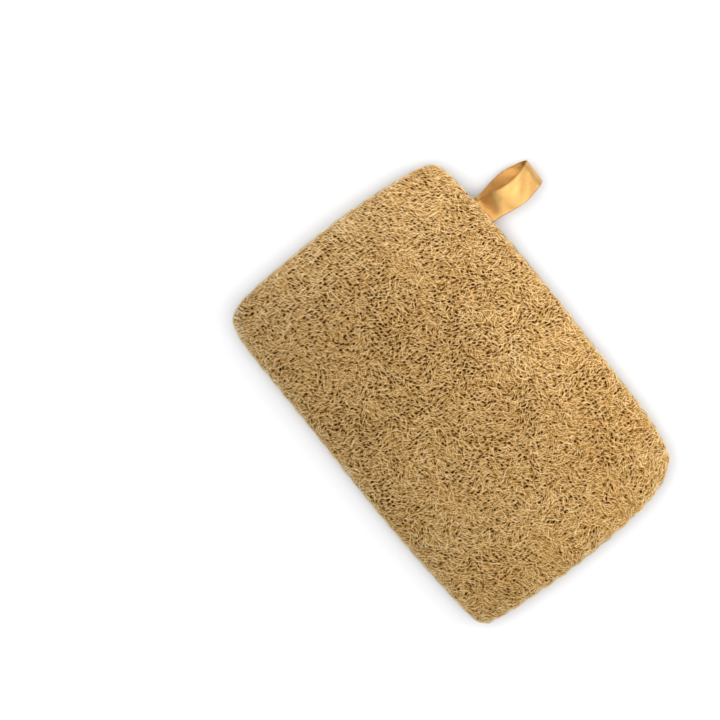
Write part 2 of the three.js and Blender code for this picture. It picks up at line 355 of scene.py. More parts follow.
def outline_place(x, y, half, inset, shape):
    """Plan place of points of the rolled-out layer, x and y, for an inset from the outline"""
    along = np.clip(np.minimum(half[0] - abs(x), half[1] - abs(y)), 0, None)
    across = x / np.maximum(half[0] - along, 1e-9), y / np.maximum(half[1] - along, 1e-9)
    power = by_quarter(x, y, shape.squareness)
    from_middle = np.maximum(abs(across[0]) ** power + abs(across[1]) ** power, 1e-12)
    rounding = from_middle ** (-1 / power)
    pull = rounding + (1 - rounding) * np.clip(along / CORNER_REACH, 0, 1)
    px = across[0] * pull * (shape.length / 2 - inset)
    py = across[1] * pull * (shape.width / 2 - inset)
    end_bow = by_quarter(x, y, shape.end_bow)
    side_bow = by_quarter(x, y, shape.side_bow)
    place_x = px * (1 - end_bow * (2 * py / shape.width) ** 2)
    place_y = py * (1 - side_bow * (2 * px / shape.length) ** 2)
    return place_x, place_y


def pucker_inset(x, y, half, shape):
    """How far the stitches gather the rim in, along the seam"""
    on_end = half[0] - abs(x) < half[1] - abs(y)
    right_end, loop_side, left_end, far_side = shape.pucker_depth
    depth = np.where(
        on_end, np.where(x > 0, right_end, left_end), np.where(y > 0, loop_side, far_side))
    turns = np.where(on_end, shape.puckers[1] * y / half[1], shape.puckers[0] * x / half[0])
    return depth * (1 + np.cos(math.pi * turns)) / 2


def quarter_ellipse(a, b):
    """Length of a quarter of an ellipse, by Ramanujan's formula"""
    return math.pi / 4 * (3 * (a + b) - math.sqrt((3 * a + b) * (a + 3 * b)))


def rim_lengths(shape, shoulder):
    """Length up the groove's wall, and from there over the rim to the face"""
    wall = math.hypot(shape.groove_depth, shape.groove_rise)
    turn = quarter_ellipse(shape.rim_width, shoulder - shape.groove_rise)
    return wall, turn


def rolled_half(shape, shoulder):
    """Half sizes of a layer's outer face, rolled out flat"""
    extra = sum(rim_lengths(shape, shoulder)) - shape.rim_width
    return shape.length / 2 + extra, shape.width / 2 + extra


def layer_sheet(side, sunk, shape, grid):
    """A smooth sheet over one layer, from seam to seam, sunk under the crests of the net.
    Its UV map is the layer rolled out flat."""
    shoulder = shape.shoulders[0 if side > 0 else 1]
    half = rolled_half(shape, shoulder)
    count_x, count_y = (round(2 * h / grid) + 1 for h in half)
    u = np.linspace(0, 1, count_x)
    v = np.linspace(0, 1, count_y)
    x, y = np.meshgrid((2 * u - 1) * half[0], (2 * v - 1) * half[1], indexing="ij")
    wall, turn = rim_lengths(shape, shoulder)
    along = np.minimum(half[0] - abs(x), half[1] - abs(y))
    on_wall = np.clip(along / wall, 0, 1)
    angle = np.clip((along - wall) / turn, 0, 1) * math.pi / 2
    past = np.clip(along - wall - turn, 0, None)
    inset = np.where(
        along < wall,
        shape.groove_depth * (1 - on_wall),
        shape.rim_width * (1 - np.cos(angle)) + past + sunk * np.cos(angle))
    gathered = on_wall * np.clip(1 - inset / shape.rim_width, 0, None)
    inset = inset + gathered * pucker_inset(x, y, half, shape)
    edge = shape.layer_gap / 2
    height = np.where(
        along < wall,
        edge + (shape.groove_rise - edge) * on_wall,
        shape.groove_rise + (shoulder - shape.groove_rise - sunk) * np.sin(angle))
    place_x, place_y = outline_place(x, y, half, inset, shape)
    middle = (1 - (2 * place_x / shape.length) ** 2) * (1 - (2 * place_y / shape.width) ** 2)
    height = height + (shape.crown * middle if side > 0 else 0)
    points = as_points(place_x, place_y, SEAM_Z + side * height).reshape(-1, 3)
    index = np.arange(count_x * count_y).reshape(count_x, count_y)
    quads = as_points(index[:-1, :-1], index[1:, :-1], index[1:, 1:], index[:-1, 1:])
    # Turned round on the lower side, so that its faces look down
    quads = quads.reshape(-1, 4)[:, ::side]
    mesh = bpy.data.meshes.new("sheet")
    mesh.from_pydata(points.tolist(), [], quads.tolist())
    grid_u, grid_v = np.meshgrid(u, v, indexing="ij")
    map_corners(mesh, "Rolled", as_points(grid_u, grid_v).reshape(-1, 2))
    mesh.shade_smooth()
    return mesh, half


def map_corners(mesh, name, flat_places):
    """Gives a mesh a UV map from one flat place for each of its points"""
    corners = np.empty(len(mesh.loops), dtype=int)
    mesh.loops.foreach_get("vertex_index", corners)
    mesh.uv_layers.new(name=name).data.foreach_set("uv", flat_places[corners].ravel())


def close(mesh):
    """Closes a mesh's open side, if it has one, with a flat face, and turns all faces out"""
    work = bmesh.new()
    work.from_mesh(mesh)
    edges = [e for e in work.edges if e.is_boundary]
    for edge in edges:
        edge.smooth = False
    made = bmesh.ops.holes_fill(work, edges=edges, sides=0)
    for face in made["faces"]:
        face.smooth = False
    bmesh.ops.recalc_face_normals(work, faces=work.faces)
    work.to_mesh(mesh)
    work.free()


def new_geometry_tree(name, sockets):
    """A Geometry Nodes tree with named inputs, by kind, between its geometry and its material"""
    tree = bpy.data.node_groups.new(name, "GeometryNodeTree")
    tree.is_modifier = True
    tree.interface.new_socket("Geometry", in_out="OUTPUT", socket_type="NodeSocketGeometry")
    sockets = {"Geometry": ["Geometry"], **sockets, "Material": ["Material"]}
    for kind, labels in sockets.items():
        for label in labels:
            tree.interface.new_socket(label, in_out="INPUT", socket_type=f"NodeSocket{kind}")
    nodes = Nodes(tree)
    return tree, nodes, nodes.add("NodeGroupInput")


def flat_place(n, rolled, size):
    """Where a point of the UV map lies on the rolled-out layer, from its middle"""
    return n.vector("MULTIPLY", n.vector("SUBTRACT", rolled, (0.5, 0.5, 0.0)), size)


# From which X on the fibres' way swirls, over what length it comes to its full swirl, and the
# least swirl as a share of that
CALM_X, CALM_LENGTH, LEAST_SWIRL = -0.095, 0.06, 0.35


def flow_angle(n, at, look):
    """Which way the fibres run at a flat place: across the sponge at its left end, in swirls
    past it"""
    along, _, _ = n.parts(at)
    calm = ((along - CALM_X) / CALM_LENGTH).clamped(LEAST_SWIRL, 1.0)
    field = n.noise(at, 1 / look.swirl_size, 1.0, 0.5, "2D")
    return (field - 0.5) * look.swirl * calm + look.heading


# Rises in a metre of the upper face, and the value of the noise that stays level
SWELLS, LEVEL = 52.0, 0.55


def swelling(n, at, look):
    """Soft rise and fall of the upper face at a flat place"""
    return (n.noise(at, SWELLS, 1.0, 0.5, "2D") - LEVEL) * look.swell


class Pores:
    """Pores between the fibres: lenses that lie along the flow, at a flat place"""

    # Half sizes as shares of the spacing, and how chance changes them
    LONG, LONG_RANGE = 0.52, 0.24
    SHORT, SHORT_RANGE = 0.36, -0.08
    # The share that lies the first way, and how far any pore turns off its way
    FIRST_WAY, TURN_RANGE = 0.6, 0.7
    # How the net is looser in places, and tighter towards both ends
    LOOSE_SCALE, LOOSE_RANGE = 45.0, 1.1
    LOOSEST_X, LOOSE_LENGTH, TIGHTER = -0.012, 0.085, 0.25
    # The chance below which a pore stays shut, and how far the widest open
    SHUT, WIDEST = 0.04, 0.7
    # The least distance from its centre that a pore is parted from
    NEAREST = 0.15

    def __init__(self, n, at, look):
        self.n = n
        spacing = look.pore_spacing
        cells = n.add(
            "ShaderNodeTexVoronoi", {"Vector": at, "Scale": 1 / spacing, "Randomness": 0.9},
            voronoi_dimensions="2D", feature="F1")
        self.centre = cells["Position"]
        first, second, third = n.parts(cells["Color"])
        angle = (flow_angle(n, self.centre, look) - (second > self.FIRST_WAY) * look.crossing
                 + (second - 0.5) * self.TURN_RANGE)
        self.cosine, self.sine = n.way(angle)
        away_x, away_y, _ = n.parts(n.vector("SUBTRACT", at, self.centre))
        self.ahead = away_x * self.cosine + away_y * self.sine
        self.aside = away_y * self.cosine - away_x * self.sine
        half_long = (third * self.LONG_RANGE + self.LONG) * spacing
        half_short = (third * self.SHORT_RANGE + self.SHORT) * spacing
        ellipse = n.joined(self.ahead / half_long, self.aside / half_short, 0.0)
        self.out = n.vector("LENGTH", ellipse)
        looser = n.noise(self.centre, self.LOOSE_SCALE, 2.0, 0.6, "2D")
        centre_x, _, _ = n.parts(self.centre)
        from_middle = (centre_x - self.LOOSEST_X) / self.LOOSE_LENGTH
        chance = (first + (looser - 0.5) * self.LOOSE_RANGE
                  - from_middle * from_middle * self.TIGHTER)
        self.opened = (chance - self.SHUT).clamped(0.0, self.WIDEST)

    def parted(self):
        """Where a fibre's point goes that has to leave the pore open"""
        kept = 1 - self.opened
        pushed = self.opened / self.out.math("MAXIMUM", self.NEAREST)
        grow = (pushed + kept - 1) * (self.out < 1.0) + 1
        shift = self.n.turned(self.ahead * grow, self.aside * grow, self.cosine, self.sine)
        return self.n.vector("ADD", self.centre, shift)

    def hole(self, softness):
        """1 in the open part of a pore and 0 outside it"""
        return ((self.opened - self.out) / softness + 0.5).clamped()

    def strands(self, pitch):
        """Ridges of felted fibres along the flow, from -1 to 1, round each pore by chance"""
        phase = self.n.noise(self.centre, 5000.0, 0.0, 0.5, "2D") * 9.0
        return (self.aside * (2 * math.pi / pitch) + phase).math("COSINE")


# Columns that slip on by this share never line up
GOLDEN = 0.618
# How far a stray fibre's ends rise and any other's dip, as shares of the net's thickness
STRAY_RISE, END_DIP = 1.8, 0.6


def fibre_tree(look):
    """Even rows of short fibres, grown flat, parted round pores and laid over a sheet by its
    UV map"""
    tree, n, given = new_geometry_tree("Loofah fibres", {
        "Int": ["Rows", "Columns", "Steps", "Seed"],
        "Float": ["Step", "Length", "Pitch", "Heading", "Width", "Spread", "Meander",
                  "Meander Scale", "Pore Depth", "Low", "High", "Weave", "Weave Scale",
                  "Stray", "Swell"],
        "Vector": ["Half Size"],
    })
    half_x, half_y, _ = n.parts(given["Half Size"])
    steps = given["Steps"]
    rows = given["Rows"]
    fibres = n.whole("MULTIPLY", rows, given["Columns"])
    line, fibre, place_on, between = n.threads(fibres, steps)
    draw = n.draws(fibre, given["Seed"])
    column = n.whole("DIVIDE", fibre, rows)
    row = n.whole("MODULO", fibre, rows)
    slip = (column * GOLDEN).math("FRACT") + draw(-0.3, 0.3, 0)
    ahead = (row + slip - rows * 0.5) * given["Length"]
    aside = (column + draw(-0.35, 0.35, 3) - given["Columns"] * 0.5) * given["Pitch"]
    start = n.turned(ahead, aside, *n.way(given["Heading"]))
    line = n.move(line, Position=start)

    # Each turn of the loop moves all points past it one step on, both ways from the middle
    middle = n.whole("DIVIDE", steps, 2)
    zone_in = n.add("GeometryNodeRepeatInput")
    zone_out = n.add("GeometryNodeRepeatOutput")
    zone_in.node.pair_with_output(zone_out.node)
    n.feed(zone_in.node.inputs["Iterations"], middle)
    n.feed(zone_in.node.inputs["Geometry"], line)
    position = n.add("GeometryNodeInputPosition").out
    from_middle = place_on - middle
    moves = abs(from_middle) > zone_in["Iteration"]
    way = from_middle.math("SIGN")
    own = draw(-1.0, 1.0, 1) + draw(-1.0, 1.0, 2)
    wander = n.noise(position, given["Meander Scale"], 1.0, 0.5, "4D", W=draw(0.0, 900.0, 4))
    angle = (flow_angle(n, position, look) - look.heading + given["Heading"]
             + own * given["Spread"] + (wander - 0.5) * given["Meander"])
    length = given["Step"] * draw(0.7, 1.3, 9)
    shift = n.scaled(n.joined(*n.way(angle), 0.0), length * way * moves)
    n.feed(zone_out.node.inputs["Geometry"], n.move(zone_in["Geometry"], Offset=shift))
    grown = zone_out["Geometry"]

    # The fibres part round the pores, and what still crosses a pore lies deep in it
    pores = Pores(n, position, look)
    inner = (1 - pores.out).math("MAXIMUM", 0.0)
    grown = n.store(grown, "sink", inner * inner * pores.opened)
    grown = n.move(grown, Position=pores.parted())

    share = place_on / (steps - 1)
    weave = n.noise(position, given["Weave Scale"], 1.0, 0.5, "2D")
    tip = abs(share * 2.0 - 1.0) ** 5.0
    stray = draw(0.0, 1.0, 10) < given["Stray"]
    lie = (draw(0.3, 0.7, 6) + (weave - 0.5) * given["Weave"]
           + tip * (stray * (STRAY_RISE + END_DIP) - END_DIP))
    grown = n.store(grown, "tone", draw(0.0, 1.0, 5))
    grown = n.store(grown, "lie", lie.clamped(-0.6, 1.1) + tip * stray)
    grown = n.store(grown, "thick", draw(0.6, 1.35, 8) * (tip * -0.5 + 1.0))
    flat_x, flat_y, _ = n.parts(position)
    outside = (abs(flat_x) / half_x).math("MAXIMUM", abs(flat_y) / half_y) > 0.999
    inside = n.cut(n.cut(grown, "EDGE", between), "POINT", outside)

    rolled = n.kept("Rolled", "FLOAT_VECTOR")
    at = n.joined(flat_x / (half_x * 2.0) + 0.5, flat_y / (half_y * 2.0) + 0.5, 0.0)

    def on_sheet(field):
        return n.add("GeometryNodeSampleUVSurface",
                     {"Mesh": given["Geometry"], "Value": field, "UV Map": rolled,
                      "Sample UV": at}, data_type="FLOAT_VECTOR")["Value"]

    normal = on_sheet(n.add("GeometryNodeInputNormal").out)
    height = (given["Low"] + (given["High"] - given["Low"]) * n.kept("lie")
              - n.kept("sink") * given["Pore Depth"]
              + swelling(n, position, look) * given["Swell"])
    lifted = n.vector("ADD", on_sheet(position), n.scaled(normal, height))
    curves = n.curves(n.move(inside, Position=lifted))
    n.tubes(curves, 3, given["Width"] * n.kept("thick"), given["Material"])
    return tree


# Over this length from the seam the felt's relief grows to its full height
SMOOTH_RIM = 0.003


def felt_tree(look):
    """Sinks the pores into a felt sheet and raises its strands"""
    tree, n, given = new_geometry_tree("Loofah felt", {
        "Float": ["Pore Depth", "Strand Height", "Swell"], "Vector": ["Half Size"],
    })
    at = flat_place(n, n.kept("Rolled", "FLOAT_VECTOR"), n.scaled(given["Half Size"], 2.0))
    pores = Pores(n, at, look)
    half_x, half_y, _ = n.parts(given["Half Size"])
    flat_x, flat_y, _ = n.parts(at)
    from_seam = (half_x - abs(flat_x)).math("MINIMUM", half_y - abs(flat_y))
    fade = (from_seam / SMOOTH_RIM).math("MINIMUM", 1.0)
    height = (pores.hole(0.5) * given["Pore Depth"] * -1.0
              + pores.strands(2.6 * look.width) * given["Strand Height"]
              + swelling(n, at, look) * given["Swell"]) * fade
    normal = n.add("GeometryNodeInputNormal").out
    moved = n.move(given["Geometry"], Offset=n.scaled(normal, height))
    n.finish(moved, given["Material"])
    return tree


def stitch_tree():
    """Threads that wrap over the seam one after another, and the thread that links them"""
    tree, n, given = new_geometry_tree("Seam stitches", {
        "Int": ["Stitches", "Steps", "Seed"],
        "Float": ["Pitch", "Thread", "Reach", "Shown", "Wall", "Rim Width", "Rim Rise"],
    })
    steps = given["Steps"]
    line, stitch, place_on, between = n.threads(given["Stitches"], steps)
    draw = n.draws(stitch, given["Seed"])
    path = n.curves(given["Geometry"])
    share = (stitch + draw(0.3, 0.7, 0)) / given["Stitches"]
    sample = n.add(
        "GeometryNodeSampleCurve", {"Curves": path, "Value": n.kept("shown"), "Factor": share},
        mode="FACTOR", data_type="FLOAT")
    outward = n.vector("NORMALIZE", n.vector("CROSS_PRODUCT", sample["Tangent"], (0.0, 0.0, 1.0)))
    turned = place_on / (steps - 1) * 2.0 - 1.0
    above = turned > 0.0
    climb = given["Reach"] + (given["Shown"] - given["Reach"]) * sample["Value"] * above
    climb = turned * climb * draw(0.85, 1.15, 1)
    over = ((abs(climb) - given["Wall"]) / given["Rim Rise"]).clamped(0.0, 0.97)
    inset = given["Rim Width"] * (1 - (1 - over * over).math("SQRT"))
    sunk = abs(turned) ** 8.0 * given["Thread"] * 2.5
    lifted = sample["Value"] * above * given["Thread"] * 3.0
    out = given["Thread"] * 0.3 + lifted * (1 - over) * 0.3 - inset - sunk
    slant = turned * given["Pitch"] * draw(0.1, 0.5, 2)
    up = n.joined(0.0, 0.0, climb + lifted * over)
    place = sample["Position"]
    for shift in (n.scaled(outward, out), n.scaled(sample["Tangent"], slant), up):
        place = n.vector("ADD", place, shift)
    rungs = n.curves(n.move(n.cut(line, "EDGE", between), Position=place))

    # The linking thread swings up and down past the widest line of the seam
    link = n.add("GeometryNodeResampleCurve",
                 {"Curve": path, "Length": given["Pitch"] * 0.5}, mode="LENGTH").out
    index = n.add("GeometryNodeInputIndex").out
    swing = (n.whole("MODULO", index, 2) * 2.0 - 1.0) * given["Pitch"] * 0.4
    link = n.move(link, Offset=n.joined(0.0, 0.0, swing))
    both = n.add("GeometryNodeJoinGeometry")
    n.feed(both.node.inputs[0], link)
    n.feed(both.node.inputs[0], rungs)
    n.tubes(both.out, 4, given["Thread"], given["Material"])
    return tree


def add_object(name, data):
    made = bpy.data.objects.new(name, data)
    bpy.context.scene.collection.objects.link(made)
    return made


def run_tree(sheet, tree, values, name):
    """The plain mesh that a tree makes from a sheet"""
    holder = add_object(name, sheet)
    modifier = holder.modifiers.new("Grow", "NODES")
    modifier.node_group = tree
    for item in tree.interface.items_tree:
        if item.item_type == "SOCKET" and item.in_out == "INPUT" and item.name in values:
            modifier[item.identifier] = values[item.name]
    grown = holder.evaluated_get(bpy.context.evaluated_depsgraph_get())
    mesh = bpy.data.meshes.new_from_object(grown)
    bpy.data.objects.remove(holder)
    mesh.name = name
    return mesh


def place_piece(name, mesh, node):
    piece = add_object(name, mesh)
    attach(piece, "root")
    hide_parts(node)
    return piece


def empty_nodes(owner):
    """The emptied node tree of a material or of the world"""
    owner.use_nodes = True
    owner.node_tree.nodes.clear()
    return Nodes(owner.node_tree)


def new_material(name):
    material = bpy.data.materials.new(name)
    return material, empty_nodes(material)


def ramp_of(n, factor, stops):
    """A colour ramp of stops, each a position and a linear colour"""
    made = n.add("ShaderNodeValToRGB", {"Fac": factor})
    elements = made.node.color_ramp.elements
    elements.remove(elements[1])
    for number, (place, shade) in enumerate(stops):
        element = elements[0] if number == 0 else elements.new(place)
        element.position = place
        element.color = (*shade, 1.0)
    return made["Color"]


def mixed(n, factor, first, second):
    """Two colours mixed by a factor"""
    made = n.add("ShaderNodeMix", {"Factor": factor, 6: first, 7: second}, data_type="RGBA")
    return made["Result"]


def bump(n, strength, distance, height):
    inputs = {"Strength": strength, "Distance": distance, "Height": height}
    return n.add("ShaderNodeBump", inputs).out


def surface(n, **inputs):
    """The material's shader and its output"""
    named = {name.replace("_", " "): value for name, value in inputs.items()}
    shader = n.add("ShaderNodeBsdfPrincipled", named)
    n.add("ShaderNodeOutputMaterial", {"Surface": shader.out})


# What the loofah's colours are multiplied by: a cool and a warm tint, and plain or painted rim
# light
COOL, WARM = (1.0, 1.01, 1.03, 1.0), (1.04, 1.0, 0.88, 1.0)
PLAIN, PAINTED_RIM_LIGHT = (1.0, 1.0, 1.0, 1.0), (1.08, 1.13, 1.22, 1.0)
# The sponge's half sizes, and the share of them where the painted rim light begins
EDGE_X, EDGE_Y, RIM_FROM = 0.0793, 0.052, 0.9


def tinted_with_painted_light(n, base, where):
    """The base colour tinted warmer towards the right end, with painted light: darker towards that
    end and the far side, and a painted rim light all round"""
    x, y, _ = n.parts(where)
    patch = n.noise(where, 22.0, 2.0)
    warm = (x * 4.0 + 0.5 + (patch - 0.5) * 0.9).clamped()
    outward = (abs(x) / EDGE_X).math("MAXIMUM", abs(y) / EDGE_Y)
    rim = ((outward - RIM_FROM) / (1 - RIM_FROM)).clamped()
    base = n.vector("MULTIPLY", base, mixed(n, warm, COOL, WARM))
    # Painted rim light: the rim is paled all round
    base = n.vector("MULTIPLY", base, mixed(n, rim, PLAIN, PAINTED_RIM_LIGHT))
    # Painted light: brighter towards the loop side and the left end, darker towards the right end
    # and the far side
    return n.scaled(base, y * 4.2 - x * 0.5 + 1.06)


def fibre_material(look):
    material, n = new_material("Loofah fibre")
    tone, lie, sink = (
        n.add("ShaderNodeAttribute", attribute_name=name)["Fac"]
        for name in ("tone", "lie", "sink"))
    where = n.add("ShaderNodeTexCoord")["Object"]
    patch = n.noise(where, 30.0, 2.0)
    grain = n.noise(where, 900.0, 3.0, 0.6)
    # Fibres that lie lower, or sink into a pore, are painted darker: painted shade
    light = (tone * 0.26 + lie * 0.36 + (patch - 0.5) * 0.45 + (grain - 0.5) * 0.4 + 0.26
             - sink * 2.2)
    base = ramp_of(n, light, [(0.0, look.brown), (0.45, look.tan), (1.0, look.pale)])
    surface(n, Base_Color=tinted_with_painted_light(n, base, where), Roughness=0.75, Specular_IOR_Level=0.08)
    return material


def felt_material(half, look):
    material, n = new_material("Loofah felt")
    rolled = n.add("ShaderNodeUVMap", uv_map="Rolled").out
    at = flat_place(n, rolled, (2 * half[0], 2 * half[1], 0.0))
    pores = Pores(n, at, look)
    grain = n.noise(at, 1400.0, 3.0, 0.6)
    strands = pores.strands(2.2 * look.width)
    # Open pores are darkened down to the hollow colour: painted shade deep in the pores
    light = strands * 0.4 + grain * 0.5 + 0.19 - pores.hole(0.3) * 1.9
    base = ramp_of(n, light, [(0.0, look.hollow), (0.35, look.brown), (0.8, look.tan)])
    base = tinted_with_painted_light(n, base, n.add("ShaderNodeTexCoord")["Object"])
    surface(n, Base_Color=base, Roughness=0.85, Specular_IOR_Level=0.0,
            Normal=bump(n, 0.6, 0.2 * MM, strands))
    return material


# The grid of the sheets that the nets are laid over, and from row to row of fibres, as a share
# of their length
NET_GRID, ROW_SHARE = 1.2 * MM, 0.85


def make_layer(node, side, fibre):
    scene = bpy.context.scene
    shape, look = scene.sponge_shape, scene.fibre_look
    upper = side > 0
    sunk, grid = (0.5 * MM, 0.5 * MM) if upper else (1.0 * MM, 0.8 * MM)
    sheet, half = layer_sheet(side, sunk, shape, grid)
    values = {"Half Size": (*half, 0.0), "Pore Depth": look.pore_depth,
              "Strand Height": 0.06 * MM, "Swell": 1.0 if upper else 0.0,
              "Material": felt_material(half, look)}
    name = f"{node}_felt"
    mesh = run_tree(sheet, felt_tree(look), values, name)
    close(mesh)
    place_piece(name, mesh, node)
    tree = fibre_tree(look)
    length = look.step * (look.steps - 1) * ROW_SHARE
    for number, net in enumerate(UPPER_NETS if upper else LOWER_NETS, 1):
        sheet, half = layer_sheet(side, 0.0, shape, NET_GRID)
        heading = look.heading + net["turn"] * look.crossing
        pitch = look.pitch * net["loose"]
        cosine, sine = abs(math.cos(heading)), abs(math.sin(heading))
        values = {
            "Rows": math.ceil(2 * (half[0] * cosine + half[1] * sine) / length) + 2,
            "Columns": math.ceil(2 * (half[0] * sine + half[1] * cosine) / pitch) + 2,
            "Steps": look.steps, "Step": look.step, "Length": length, "Pitch": pitch,
            "Heading": heading, "Half Size": (*half, 0.0), "Width": look.width * net["thick"],
            "Spread": net["spread"], "Meander": 1.6, "Meander Scale": 300.0,
            "Pore Depth": 1.2 * MM if upper else 0.2 * MM,
            "Low": net["low"] * MM, "High": net["high"] * MM, "Weave": net["weave"],
            "Weave Scale": 640.0, "Stray": 0.04 if upper else 0.0,
            "Swell": 1.0 if upper else 0.0, "Seed": net["seed"], "Material": fibre,
        }
        name = f"{node}_net_{number}"
        place_piece(name, run_tree(sheet, tree, values, name), node)


# Each net of fibres: its turn from the first way as a share of the crossing, its pitch and
# thickness against a middling one's, how far its fibres spread, its lowest and highest lie in
# millimetres from the crests, and how far it weaves, up where another net goes down
UPPER_NETS = (
    dict(turn=0, loose=1.0, thick=1.0, spread=0.12, low=-0.5, high=-0.02, weave=3.4, seed=18),
    dict(turn=-1, loose=1.0, thick=1.0, spread=0.12, low=-0.5, high=-0.02, weave=-3.4, seed=35),
    dict(turn=-0.5, loose=1.22, thick=0.9, spread=0.5, low=-0.45, high=0.0, weave=3.0, seed=52),
)
LOWER_NETS = (
    dict(turn=0, loose=2.2, thick=1.4, spread=0.2, low=-0.88, high=-0.44, weave=3.4, seed=50),
    dict(turn=-1, loose=2.2, thick=1.4, spread=0.2, low=-0.88, high=-0.44, weave=-3.4, seed=67),
)


class LOOFAH_OT_layers(bpy.types.Operator):
    """Lays the felt and the fibre nets over both layers"""

    bl_idname = "loofah.layers"
    bl_label = "Loofah layers"

    def execute(self, context):
        material = fibre_material(context.scene.fibre_look)
        make_layer("front_ply", 1, material)
        make_layer("back_ply", -1, material)
        return {"FINISHED"}


# X and Y of where the stitches climb far enough to show on the face, and how far round them
SHOWN_AT = ((-76.5 * MM, -46.5 * MM), (-73.5 * MM, -50.0 * MM), (-68.5 * MM, -52.0 * MM),
            (-2.7 * MM, -51.8 * MM))
SHOWN_REACH = 2.6 * MM
# From the loop's edge to the first stitch, and from the outline to the seam's path
LOOP_GAP, PATH_INSET = 0.4 * MM, 0.15 * MM


def seam_path(shape, ribbon):
    """The seam's line from one side of the loop round to the other, seen from above against
    the clock, and how far the stitches show at each of its points"""
    half = rolled_half(shape, shape.shoulders[0])
    signs = (0, 1), (-1, 1), (-1, -1), (1, -1), (1, 1), (0, 1)
    corners = [(x * half[0], y * half[1]) for x, y in signs]
    line = []
    for (x0, y0), (x1, y1) in zip(corners, corners[1:]):
        count = round(math.hypot(x1 - x0, y1 - y0) / (0.5 * MM))
        line += [(x0 + (x1 - x0) * i / count, y0 + (y1 - y0) * i / count) for i in range(count)]
    flat = np.array(line)
    gather = pucker_inset(flat[:, 0], flat[:, 1], half, shape)
    x, y = outline_place(flat[:, 0], flat[:, 1], half, PATH_INSET + gather * 0.6, shape)
    gap = ribbon.width / 2 + ribbon.lean + LOOP_GAP
    blocked = (abs(x - ribbon.place) < gap) & (y > 0)
    start = int(np.flatnonzero(blocked)[-1]) + 1
    order = np.roll(np.arange(len(x)), -start)
    order = order[~blocked[order]]
    points = as_points(x, y, np.full(len(x), SEAM_Z))[order]
    away = [np.hypot(points[:, 0] - px, points[:, 1] - py) for px, py in SHOWN_AT]
    shown = np.exp(-(np.min(away, axis=0) / SHOWN_REACH) ** 4)
    mesh = bpy.data.meshes.new("seam path")
    mesh.from_pydata(points.tolist(), [(i, i + 1) for i in range(len(points) - 1)], [])
    mesh.attributes.new("shown", "FLOAT", "POINT").data.foreach_set("value", shown)
    length = np.linalg.norm(np.diff(points, axis=0), axis=1).sum()
    return mesh, length


def cotton_material(look):
    material, n = new_material("Seam cotton")
    where = n.add("ShaderNodeTexCoord")["Object"]
    grain = n.noise(where, 2600.0, 3.0, 0.6)
    patch = n.noise(where, 160.0, 2.0)
    worn = tuple(c * 0.72 for c in look.cream)
    base = ramp_of(n, grain * 0.6 + patch * 0.4, [(0.3, worn), (0.65, look.cream)])
    surface(n, Base_Color=base, Roughness=0.8, Specular_IOR_Level=0.2,
            Normal=bump(n, 0.5, 0.1 * MM, grain))
    return material


class LOOFAH_OT_stitches(bpy.types.Operator):
    """Sews the two layers together round the rim"""

    bl_idname = "loofah.stitches"
    bl_label = "Seam stitches"

    def execute(self, context):
        shape, look = context.scene.sponge_shape, context.scene.stitch_look
        path, length = seam_path(shape, context.scene.ribbon_shape)
        values = {
            "Stitches": round(length / look.pitch), "Steps": 8, "Pitch": look.pitch,
            "Thread": look.thread, "Reach": look.reach, "Shown": look.shown,
            "Wall": shape.groove_rise, "Rim Width": shape.rim_width,
            "Rim Rise": shape.shoulders[0] - shape.groove_rise, "Seed": 4,
            "Material": cotton_material(look),
        }
        mesh = run_tree(path, stitch_tree(), values, "seam_stitches")
        place_piece("seam_stitches", mesh, "seam_thread")
        return {"FINISHED"}


def catmull_rom(places, count):
    """Points evenly along a centripetal Catmull-Rom curve through the places, and its length"""
    padded = np.vstack([2 * places[0] - places[1], places, 2 * places[-1] - places[-2]])
    dense = []
    for a, b, c, d in zip(padded, padded[1:], padded[2:], padded[3:]):
        steps = [np.linalg.norm(q - p) ** 0.5 for p, q in ((a, b), (b, c), (c, d))]
        knots = np.cumsum([0.0, *steps])
        t = np.linspace(knots[1], knots[2], 40, endpoint=False)[:, None]

        def between(p, q, i, j):
            return ((knots[j] - t) * p + (t - knots[i]) * q) / (knots[j] - knots[i])

        ab, bc, cd = between(a, b, 0, 1), between(b, c, 1, 2), between(c, d, 2, 3)
        dense.append(between(between(ab, bc, 0, 2), between(bc, cd, 1, 3), 1, 2))
    dense = np.vstack([*dense, places[-1:]])
    run = np.concatenate([[0.0], np.cumsum(np.linalg.norm(np.diff(dense, axis=0), axis=1))])
    even = np.linspace(0, run[-1], count)
    return as_points(*(np.interp(even, run, dense[:, i]) for i in range(2))), run[-1]


def ribbon_route(shape, rim, count):
    """The loop's route in the plane across the seam: Y, and Z from the seam"""
    lie = shape.thickness / 2 + 0.01 * MM
    reach, opening = shape.reach, shape.opening
    run = [
        (rim - shape.tuck, lie), (rim - shape.tuck / 2, lie), (rim + 0.5 * MM, lie * 1.6),
        (rim + reach * 0.25, opening * 0.64), (rim + reach * 0.5, opening * 0.99),
        (rim + reach * 0.75, opening * 0.95), (rim + reach * 0.92, opening * 0.66),
    ]
    back = [(y, -z) for y, z in reversed(run)]
    return catmull_rom(np.array([*run, (rim + reach - 0.25 * MM, 0.0), *back]), count)


def smooth_step(value, low, high):
    t = np.clip((value - low) / (high - low), 0, 1)
    return t * t * (3 - 2 * t)


# How far the two runs sway apart, sideways, at most
SWAY = 0.7 * MM


def pose_ribbon(x, y, z, shape, rim):
    """Gives the flat loop its lean, tilt and sway past the rim"""
    out = np.clip((y - rim) / shape.reach, 0, 1)
    side = np.clip(z / shape.opening, -1, 1)
    angle = shape.tilt * smooth_step(out, 0, 0.35)
    lean = np.sign(side) * shape.lean * (1 - smooth_step(out, 0.5, 1))
    sway = side * SWAY * np.sin(math.pi * out ** 1.4)
    turned_x = shape.place + lean + sway + x * np.cos(angle) + z * np.sin(angle)
    return turned_x, y, SEAM_Z + z * np.cos(angle) - x * np.sin(angle)


